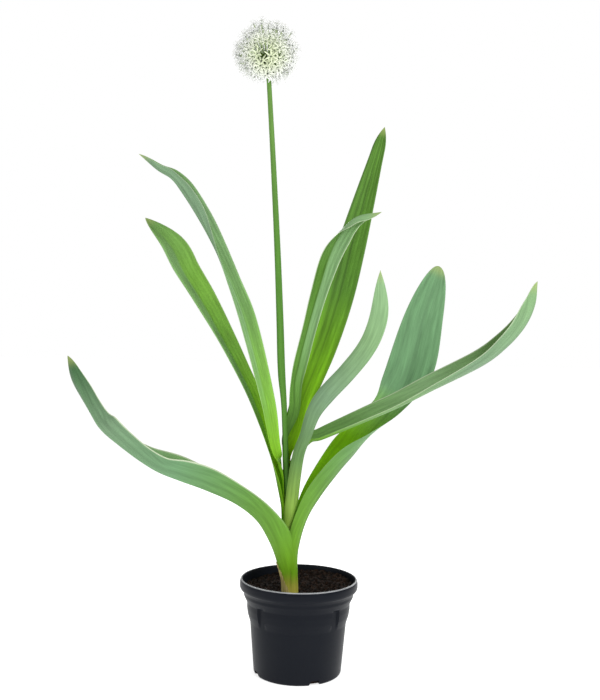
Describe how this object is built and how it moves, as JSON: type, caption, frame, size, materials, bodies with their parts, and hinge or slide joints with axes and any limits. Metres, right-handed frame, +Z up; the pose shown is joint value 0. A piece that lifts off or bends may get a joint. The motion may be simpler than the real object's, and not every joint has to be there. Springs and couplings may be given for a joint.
{
  "type": "potted white giant allium",
  "caption": "Potted bulb plant in flower: long channelled leaves sheathed round a tall bare stem with a round head of white star florets, in a tapered black nursery pot.",
  "frame": {"origin": "centre of the pot's flat underside, on the surface that the pot stands on", "axes": "+Z up along the pot's axis, +X to the right and -Y to the front as the picture shows the plant"},
  "size_m": [0.6492, 0.1836, 0.9574],
  "materials": {
    "pot": "satin",
    "soil": "matte",
    "bulb": "matte",
    "dry_sheath": "matte",
    "leaf": "satin",
    "stem": "satin",
    "floret": "matte"
  },
  "bodies": {
    "root": {"pot": "pot", "soil": "soil", "bulb": "bulb", "dry_sheath": "dry_sheath", "leaf_low_left": "leaf", "leaf_low_right": "leaf", "leaf_front": "leaf", "leaf_left": "leaf", "leaf_far_right": "leaf", "leaf_arching": "leaf", "leaf_bent_tip": "leaf", "leaf_tall": "leaf", "flower_stem": "stem", "umbel": "floret"}
  },
  "joints": []
}
